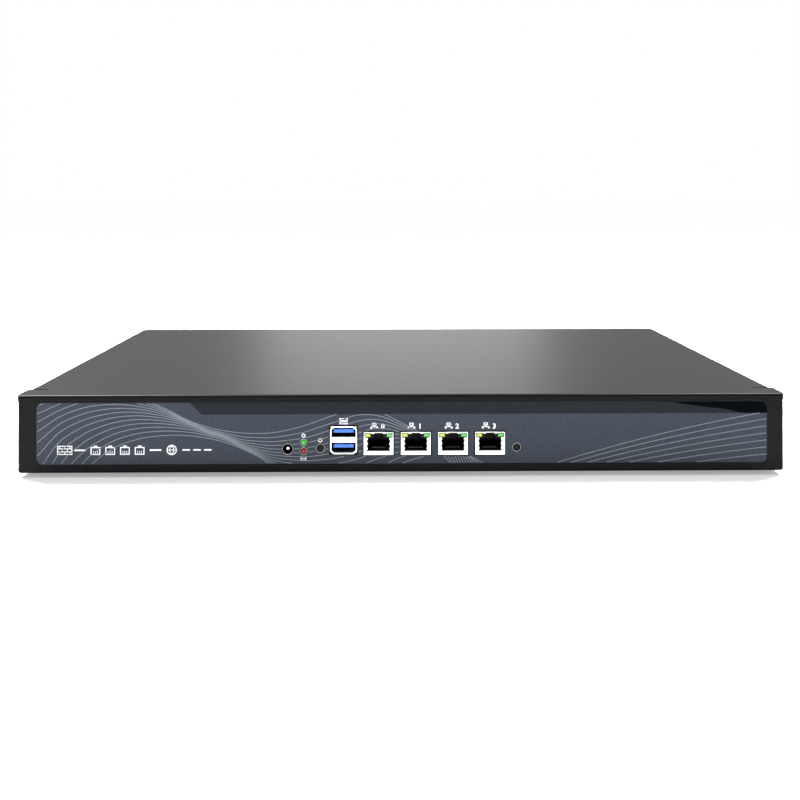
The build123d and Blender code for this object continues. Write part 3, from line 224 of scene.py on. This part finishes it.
def ribbon(shape, points, width, thickness):
    """A closed thin strip of the given width along (x, z) points."""
    left, right = [], []
    for index, point in enumerate(points):
        before = points[max(0, index - 1)]
        after = points[min(len(points) - 1, index + 1)]
        direction = Vector((after[0] - before[0], after[1] - before[1])).normalized()
        across = Vector((-direction.y, direction.x)) * width / 2
        left.append((point[0] + across.x, point[1] + across.y))
        right.append((point[0] - across.x, point[1] - across.y))
    slab_strip(shape, left, right, thickness)


def slab_strip(shape, left, right, thickness):
    """A closed strip between two rows of (x, z) points."""
    rows = []
    for y in (PANEL_Y, PANEL_Y - thickness):
        rows.append([[shape.verts.new((x, y, z)) for x, z in side] for side in (left, right)])
    (back_left, back_right), (front_left, front_right) = rows
    for i in range(len(left) - 1):
        shape.faces.new((front_left[i], front_left[i + 1], front_right[i + 1], front_right[i]))
        shape.faces.new((back_left[i], back_right[i], back_right[i + 1], back_left[i + 1]))
        shape.faces.new((back_left[i], back_left[i + 1], front_left[i + 1], front_left[i]))
        shape.faces.new((back_right[i], front_right[i], front_right[i + 1], back_right[i + 1]))
    shape.faces.new((back_left[0], front_left[0], front_right[0], back_right[0]))
    shape.faces.new((back_left[-1], back_right[-1], front_right[-1], front_left[-1]))


def smooth(stations, x):
    """The value at x of a smooth curve through (x, value) stations in rising order of x."""
    if x <= stations[0][0]:
        return stations[0][1]
    if x >= stations[-1][0]:
        return stations[-1][1]
    index = max(i for i in range(len(stations) - 1) if stations[i][0] <= x)

    def slope(i):
        low, high = max(0, i - 1), min(len(stations) - 1, i + 1)
        return (stations[high][1] - stations[low][1]) / (stations[high][0] - stations[low][0])

    (x0, v0), (x1, v1) = stations[index], stations[index + 1]
    run = x1 - x0
    t = (x - x0) / run
    return (
        (2 * t**3 - 3 * t**2 + 1) * v0
        + (t**3 - 2 * t**2 + t) * run * slope(index)
        + (-2 * t**3 + 3 * t**2) * v1
        + (t**3 - t**2) * run * slope(index + 1)
    )


# The panel's drawing is laid out in millimetres: x from the middle, z from the panel's lower edge.
def drawing(x, z):
    """A place in the frame as drawing millimetres."""
    return (x / MM, (z - PANEL_Z) / MM)


FILM_LEFT, FILM_BOTTOM = drawing(FILM_LOW.x, FILM_LOW.z)
FILM_RIGHT, FILM_TOP = drawing(FILM_HIGH.x, FILM_HIGH.z)
FILM_CORNER = 3.5
PRINT_MARGIN = 0.3
BAND_MARGIN = 0.09
HOLE_MARGIN = 0.75
BAND_BOTTOM = 32.7
BAND_LEFT_TOP, BAND_LEFT_BOTTOM = -119.0, -112.3
RECT_HOLES = [(USB_LOW, USB_HIGH)]
RECT_HOLES += [
    (Vector((x - PORT_WIDTH / 2, 0, SHIELD_LOW.z)), Vector((x + PORT_WIDTH / 2, 0, SHIELD_HIGH.z)))
    for x in PORT_X
]


def on_film(x, z):
    """True where the film can carry print: inside its outline and clear of every opening."""
    inset_x = min(x - FILM_LEFT, FILM_RIGHT - x) - PRINT_MARGIN
    inset_z = min(z - FILM_BOTTOM, FILM_TOP - z) - PRINT_MARGIN
    if inset_x < 0 or inset_z < 0:
        return False
    if inset_x < FILM_CORNER and inset_z < FILM_CORNER:
        if math.hypot(FILM_CORNER - inset_x, FILM_CORNER - inset_z) > FILM_CORNER:
            return False
    for low, high in RECT_HOLES:
        (left, bottom), (right, top) = drawing(low.x, low.z), drawing(high.x, high.z)
        inside_x = left - HOLE_MARGIN < x < right + HOLE_MARGIN
        if inside_x and bottom - HOLE_MARGIN < z < top + HOLE_MARGIN:
            return False
    for hole, radius in ROUND_HOLES:
        hole_x, hole_z = drawing(hole.x, hole.z)
        if math.hypot(x - hole_x, z - hole_z) < radius / MM + HOLE_MARGIN:
            return False
    return True


def below_band(x, z):
    """True left of and below the dark band along the film's upper edge."""
    if z < BAND_BOTTOM:
        return True
    share = (z - BAND_BOTTOM) / (FILM_TOP - BAND_BOTTOM)
    return x < BAND_LEFT_BOTTOM + share * (BAND_LEFT_TOP - BAND_LEFT_BOTTOM)


def draw_curve(shape, height, x_start, x_end, width, thickness, step=0.25, keep_every=8):
    """Draws z = height(x) wherever the film can carry it. Arguments are in millimetres."""
    run = []
    count = int((x_end - x_start) / step) + 1
    for index in range(count + 1):
        x = x_start + index * step
        z = height(x)
        if index < count and on_film(x, z) and below_band(x, z):
            run.append((x, z))
            continue
        if len(run) > 3:
            kept = run[:-1:keep_every] + [run[-1]]
            points = [(x * MM, z * MM + PANEL_Z) for x, z in kept]
            ribbon(shape, points, width * MM, thickness * MM)
        run = []


# The left wave is a family of lines between a top and a bottom curve. Each row is a station across
# the panel: x, the heights of the top and the bottom line, the share of the way down at which the
# lines are pinched together there, and how strongly. Most rows are rounded results of a
# least-squares fit made outside this script, not values worked out here.
WAVE_COUNT = 12
WAVE = [
    (-204, 37.8, -80, 0, 0.6), (-192, 42.2, -28, 0.1, 0.45), (-180, 45.8, -2.5, 0.1, 0.28),
    (-165, 45.5, 12, 0, 0.25), (-150, 42.5, 18.5, 0, 0.3), (-135, 37.2, 21, 0, 0.42),
    (-120, 29.7, 21, 0.2, 0.64), (-110, 26, 19.7, 0.45, 0.7), (-100, 23.7, 17.4, 0.5, 0.7),
    (-90, 22.4, 13.7, 0.7, 0.65), (-80, 22.1, 8.7, 1, 0.55), (-70, 22.8, 2.4, 1, 0.27),
    (-55, 26.3, -1, 1, 0.25), (-40, 31.6, -4, 0.75, 0.1), (-25, 35.8, -5.5, 0.3, 0.1),
    (-12, 33.4, -1.5, 0, 0.37), (0, 27.5, 5.2, 0, 0.43), (20, 17.5, 11, 0.2, 0.5),
]
WAVE_TOP, WAVE_BOTTOM, WAVE_PINCH, WAVE_STRENGTH = [
    [(row[0], row[column]) for row in WAVE] for column in (1, 2, 3, 4)
]
LINE_WIDTH = 0.45
WAVE_END = 12.0


def wave_line(index):
    """The height function of one line of the left wave."""
    share = index / (WAVE_COUNT - 1)

    def height(x):
        top, bottom = smooth(WAVE_TOP, x), smooth(WAVE_BOTTOM, x)
        pinch, strength = smooth(WAVE_PINCH, x), smooth(WAVE_STRENGTH, x)
        pinched = ((share - pinch) ** 3 + pinch**3) / ((1 - pinch) ** 3 + pinch**3)
        return top + (bottom - top) * (share + strength * (pinched - share))

    return height


def line_lift(index):
    """The thickness of a line: each differs a little, so that crossing lines never coincide."""
    return 0.03 + 0.0006 * index


def draw_left_wave(shape):
    for index in range(WAVE_COUNT):
        draw_curve(shape, wave_line(index), FILM_LEFT, WAVE_END, LINE_WIDTH, line_lift(index))


# The strokes at the film's lower edge all start at one height; shares run from right to left.
FOOT_TOP = 8.8
FOOT_UPPER_X, FOOT_UPPER_SPREAD = 38.3, 14.6
FOOT_LOWER_X, FOOT_LOWER_SPREAD = 45.6, 18.3


def draw_wave_foot(shape):
    """The short strokes where the left wave comes down to the film's lower edge."""
    for index in range(WAVE_COUNT):
        share = index / (WAVE_COUNT - 1)
        upper_x = FOOT_UPPER_X - FOOT_UPPER_SPREAD * share**1.6
        lower_x = FOOT_LOWER_X - FOOT_LOWER_SPREAD * share**0.8
        drop = (FOOT_TOP - FILM_BOTTOM) / (lower_x - upper_x)

        def height(x):
            return FOOT_TOP - (x - upper_x) * drop

        draw_curve(shape, height, upper_x, lower_x, LINE_WIDTH, line_lift(index), 0.1, 3)


# The right wave: seven evenly spaced lines that rise from the lower edge and flatten to the right.
SWEEP_COUNT = 7
SWEEP_START = 60.0


def sweep_line(index):
    """The height function of one line of the right wave."""
    end = 33.4 - 3.97 * index
    slope = 0.172 - 0.0145 * index

    def height(x):
        back = FILM_RIGHT - x
        return end - slope * back - 0.00055 * back**2

    return height


def draw_right_wave(shape):
    for index in range(SWEEP_COUNT):
        draw_curve(shape, sweep_line(index), SWEEP_START, FILM_RIGHT, LINE_WIDTH, line_lift(index))


new_piece("wave_lines_left", draw_left_wave, LINE_INK)
new_piece("wave_lines_foot", draw_wave_foot, LINE_INK)
new_piece("wave_lines_right", draw_right_wave, LINE_INK)


def panel_point(x, z):
    """A drawing point in millimetres as (x, z) in the frame."""
    return (x * MM, z * MM + PANEL_Z)


def corner_arc(centre_x, centre_z, radius, start, end, count=8):
    """Points on an arc, in drawing millimetres, with angles in degrees."""
    angles = [math.radians(start + (end - start) * i / count) for i in range(count + 1)]
    return [(centre_x + radius * math.cos(a), centre_z + radius * math.sin(a)) for a in angles]


def draw_band(shape):
    top = FILM_TOP - BAND_MARGIN
    right = FILM_RIGHT - BAND_MARGIN
    outline = [(BAND_LEFT_TOP, top), (BAND_LEFT_BOTTOM, BAND_BOTTOM), (right, BAND_BOTTOM)]
    outline += corner_arc(right - FILM_CORNER, top - FILM_CORNER, FILM_CORNER, 0, 90)
    slab(shape, [panel_point(x, z) for x, z in outline], 0.02 * MM)


def draw_wedge(shape):
    top = FILM_TOP - BAND_MARGIN
    right = FILM_RIGHT - BAND_MARGIN
    edge = [(144.0, top), (152.0, 38.9), (160.0, 37.6), (170.0, 36.3), (181.0, 35.1), (185.0, 34.3)]
    edge += [(188.0, 33.4), (191.5, BAND_BOTTOM)]
    outline = edge + [(right, BAND_BOTTOM)]
    outline += corner_arc(right - FILM_CORNER, top - FILM_CORNER, FILM_CORNER, 0, 90)
    slab(shape, [panel_point(x, z) for x, z in outline], 0.01 * MM, lift=0.02 * MM)


new_piece("overlay_band", draw_band, BAND_INK)
new_piece("overlay_wedge", draw_wedge, WEDGE_INK)


# ---------------------------------------------------------------- generic symbols in pale ink
INK_THICKNESS = 0.03
STROKE = 0.55


def draw_box(shape, x, z, width, height, stroke=STROKE):
    """An empty box drawn with four strokes, centred on x and z."""
    half_w, half_h = width / 2, height / 2
    bars = [
        (x - half_w, z - half_h, x + half_w, z - half_h + stroke),
        (x - half_w, z + half_h - stroke, x + half_w, z + half_h),
        (x - half_w, z - half_h + stroke, x - half_w + stroke, z + half_h - stroke),
        (x + half_w - stroke, z - half_h + stroke, x + half_w, z + half_h - stroke),
    ]
    for low_x, low_z, high_x, high_z in bars:
        draw_bar(shape, low_x, low_z, high_x, high_z)


def draw_bar(shape, low_x, low_z, high_x, high_z):
    """A filled bar between two corners."""
    corners = [(low_x, low_z), (high_x, low_z), (high_x, high_z), (low_x, high_z)]
    slab(shape, [panel_point(px, pz) for px, pz in corners], INK_THICKNESS * MM)


def draw_arc(shape, x, z, radius, start, end, stroke=STROKE):
    """A stroke along an arc, with angles in degrees."""
    points = [panel_point(px, pz) for px, pz in corner_arc(x, z, radius, start, end, 24)]
    ribbon(shape, points, stroke * MM, INK_THICKNESS * MM)


def draw_port(shape, x, z, size):
    """A network port: a box with a latch step above it."""
    draw_box(shape, x, z, size, size * 0.8)
    draw_bar(shape, x - size * 0.18, z + size * 0.4, x + size * 0.18, z + size * 0.55)
    for offset in (-0.2, 0.0, 0.2):
        draw_bar(shape, x + size * offset - 0.15, z - size * 0.25, x + size * offset + 0.15, z)


def draw_wall(shape, x, z, width, height):
    """A brick wall in three courses."""
    course = height / 3
    draw_box(shape, x, z, width, height, 0.45)
    for row in (1, 2):
        level = z - height / 2 + row * course
        draw_bar(shape, x - width / 2 + 0.45, level - 0.2, x + width / 2 - 0.45, level + 0.2)
    for row in range(3):
        joints = (-0.17, 0.17) if row % 2 else (-0.33, 0.0, 0.33)
        for offset in joints:
            low = z - height / 2 + row * course + 0.3
            draw_bar(shape, x + offset * width - 0.2, low, x + offset * width + 0.2, low + course - 0.6)


def draw_power(shape, x, z, radius):
    """The usual broken ring with a bar at its top."""
    draw_arc(shape, x, z, radius, 120, 420, 0.4)
    draw_bar(shape, x - 0.2, z + radius * 0.2, x + 0.2, z + radius * 1.25)


def draw_drive(shape, x, z, width):
    """A stack of two discs, as a data store is drawn."""
    draw_box(shape, x, z, width, width * 0.75, 0.35)
    draw_bar(shape, x - width / 2 + 0.35, z - 0.15, x + width / 2 - 0.35, z + 0.15)


def draw_strip(shape):
    """The row of symbols at the left: a wall, a line, four ports, a line and a globe."""
    z = 13.0
    draw_wall(shape, -188.6, z, 8.4, 5.0)
    draw_bar(shape, -183.2, z - 0.4, -176.8, z + 0.4)
    for index in range(PORT_COUNT):
        draw_port(shape, -171.5 + index * 8.2, z - 0.4, 5.4)
    draw_bar(shape, -141.2, z - 0.4, -134.8, z + 0.4)
    draw_arc(shape, -129.0, z, 2.6, 0, 360)
    draw_arc(shape, -130.9, z, 3.0, -49, 49, 0.45)
    draw_arc(shape, -127.1, z, 3.0, 131, 229, 0.45)
    draw_bar(shape, -131.4, z - 0.22, -126.6, z + 0.22)
    for index in range(3):
        draw_bar(shape, -123.0 + index * 6.0, z - 0.4, -118.8 + index * 6.0, z + 0.4)


def draw_labels(shape):
    """Small symbols beside the connectors, LEDs and button."""
    usb_x, usb_top = drawing((USB_LOW.x + USB_HIGH.x) / 2, USB_HIGH.z)
    for rise in (1.9, 3.7):
        draw_box(shape, usb_x, usb_top + rise, 4.6, 1.5, 0.4)
    led_x, green_z = drawing(GREEN.x, GREEN.z)
    draw_power(shape, led_x, green_z + 4.0, 0.95)
    draw_drive(shape, led_x, drawing(RED.x, RED.z)[1] - 4.0, 3.0)
    power_x, power_z = drawing(POWER.x, POWER.z)
    draw_power(shape, power_x, power_z + 4.6, 0.95)
    port_top = drawing(0, SHIELD_HIGH.z)[1]
    for port_x in PORT_X:
        x = port_x / MM - 2.4
        draw_box(shape, x, port_top + 4.4, 2.4, 1.5, 0.4)
        draw_bar(shape, x - 0.2, port_top + 3.1, x + 0.2, port_top + 3.65)
        draw_bar(shape, x - 2.1, port_top + 2.75, x + 2.1, port_top + 3.1)
        for side in (-1, 1):
            draw_bar(shape, x + side * 1.7 - 0.5, port_top + 1.9, x + side * 1.7 + 0.5, port_top + 2.7)


new_piece("symbol_strip", draw_strip, INK)
new_piece("port_symbols", draw_labels, INK)


def port_digit(index, port_x):
    """The port's number, as flat ink from the built-in font."""
    curve = bpy.data.curves.new(f"digit_{index}", "FONT")
    curve.body = str(index)
    curve.size = 3.9 * MM
    curve.extrude = INK_THICKNESS * MM / 2
    curve.offset = 0.12 * MM
    curve.align_x = "CENTER"
    holder = bpy.data.objects.new(f"digit_holder_{index}", curve)
    mesh = bpy.data.meshes.new_from_object(holder)
    bpy.data.objects.remove(holder)
    for vertex in mesh.vertices:
        x, up, out = vertex.co
        vertex.co = (
            x + port_x + 2.4 * MM,
            PANEL_Y - INK_THICKNESS * MM / 2 - out,
            up + SHIELD_HIGH.z + 1.9 * MM,
        )
    mesh.materials.clear()
    mesh.materials.append(INK)
    piece = bpy.data.objects.new(f"port_digit_{index}", mesh)
    scene.collection.objects.link(piece)
    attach(piece, BODY)


for number, x in enumerate(PORT_X):
    port_digit(number, x)


# ---------------------------------------------------------------- bare metal rims of the punched holes
RIM_FRONT = 0.26 * MM
RIM_BACK = 1.2 * MM
RIM_OUTSIDE = 0.02 * MM
RIM_INSIDE = 0.14 * MM
RIM_SEGMENTS = 40


def draw_rims(shape):
    """A thin bare-metal lining inside each round hole, as thick as the sheet behind the film."""
    front, back = PANEL_Y + RIM_FRONT, PANEL_Y + RIM_BACK
    section = [(front, RIM_OUTSIDE), (back, RIM_OUTSIDE), (back, RIM_INSIDE), (front, RIM_INSIDE)]
    for hole, radius in ROUND_HOLES:
        rings = []
        for y, inset in section:
            reach = radius - inset
            ring = []
            for step in range(RIM_SEGMENTS):
                angle = 2 * math.pi * step / RIM_SEGMENTS
                x = hole.x + reach * math.cos(angle)
                z = hole.z + reach * math.sin(angle)
                ring.append(shape.verts.new((x, y, z)))
            rings.append(ring)
        for index in range(len(section)):
            ring, following = rings[index], rings[(index + 1) % len(section)]
            for step in range(RIM_SEGMENTS):
                after = (step + 1) % RIM_SEGMENTS
                shape.faces.new((ring[step], ring[after], following[after], following[step]))


new_piece("hole_rims", draw_rims, RIM_METAL)


# ---------------------------------------------------------------- floor, light and camera
def pale_floor():
    mesh = bpy.data.meshes.new("floor")
    shape = bmesh.new()
    bmesh.ops.create_grid(shape, x_segments=8, y_segments=8, size=30.0)
    shape.to_mesh(mesh)
    shape.free()
    paint = surface("pale_floor", (0.8, 0.8, 0.8), 0.8, specular=0.1, vary=0.01, grain=3.0, bump=0.0)
    mesh.materials.append(glow(paint, (1.0, 1.0, 1.0), 0.35))
    floor = bpy.data.objects.new("floor", mesh)
    scene.collection.objects.link(floor)


def softbox(name, place, aim, width, height, power):
    """An area light at place, turned towards aim."""
    data = bpy.data.lights.new(name, "AREA")
    data.shape = "RECTANGLE"
    data.size = width
    data.size_y = height
    data.energy = power
    light = bpy.data.objects.new(name, data)
    light.location = place
    light.rotation_euler = (Vector(aim) - Vector(place)).to_track_quat("-Z", "Y").to_euler()
    light.visible_camera = False
    scene.collection.objects.link(light)


def studio_world(front, rear, seen):
    """White surroundings. Their light rises from front to rear; seen is their strength in view."""
    world = bpy.data.worlds.new("studio")
    scene.world = world
    world.use_nodes = True
    tree = world.node_tree
    lighting = tree.nodes["Background"]
    lighting.inputs["Color"].default_value = (1, 1, 1, 1)
    direction = add_node(tree, "ShaderNodeTexCoord")
    axes = add_node(tree, "ShaderNodeSeparateXYZ")
    tree.links.new(direction.outputs["Generated"], axes.inputs["Vector"])
    rise = add_node(tree, "ShaderNodeMapRange")
    rise.inputs["From Min"].default_value = -1.0
    rise.inputs["To Min"].default_value = front
    rise.inputs["To Max"].default_value = rear
    tree.links.new(axes.outputs["Y"], rise.inputs["Value"])
    tree.links.new(rise.outputs["Result"], lighting.inputs["Strength"])
    backdrop = add_node(tree, "ShaderNodeBackground")
    backdrop.inputs["Color"].default_value = (1, 1, 1, 1)
    backdrop.inputs["Strength"].default_value = seen
    path = add_node(tree, "ShaderNodeLightPath")
    mix = add_node(tree, "ShaderNodeMixShader")
    tree.links.new(path.outputs["Is Camera Ray"], mix.inputs["Fac"])
    tree.links.new(lighting.outputs["Background"], mix.inputs[1])
    tree.links.new(backdrop.outputs["Background"], mix.inputs[2])
    tree.links.new(mix.outputs["Shader"], tree.nodes["World Output"].inputs["Surface"])


def soft_sun(strength, spread, tilt_x, tilt_y):
    """A broad, even light from far off: spread is its width as an angle, tilts are in degrees."""
    data = bpy.data.lights.new("soft_sun", "SUN")
    data.energy = strength
    data.angle = math.radians(spread)
    light = bpy.data.objects.new("soft_sun", data)
    light.rotation_euler = (math.radians(tilt_x), math.radians(tilt_y), 0.0)
    scene.collection.objects.link(light)


def photo_camera():
    """The camera in front of the panel and a little above it, with the lens shifted down."""
    data = bpy.data.cameras.new("camera")
    data.lens = 39.03
    data.sensor_width = 36.0
    data.shift_y = -0.2527
    camera = bpy.data.objects.new("camera", data)
    camera.location = (-0.0064, -0.6117, 0.1561)
    camera.rotation_euler = (math.pi / 2 + 0.0007, 0.0006, -0.0106)
    scene.collection.objects.link(camera)
    scene.camera = camera


scene.view_settings.view_transform = "Standard"
pale_floor()
studio_world(0.2, 0.97, 1.0)
soft_sun(0.7, 50.0, 20.0, -10.0)
softbox("rear_softbox", (0.02, 1.4, 0.42), (0, 0, 0.05), 0.66, 0.5, 3.1)
softbox("left_edge_softbox", (-0.57, 0.25, 0.9), (-0.15, -0.12, 0.04), 0.35, 0.35, 42.0)
softbox("right_edge_softbox", (0.57, 0.25, 0.9), (0.15, -0.12, 0.04), 0.35, 0.35, 24.0)
photo_camera()
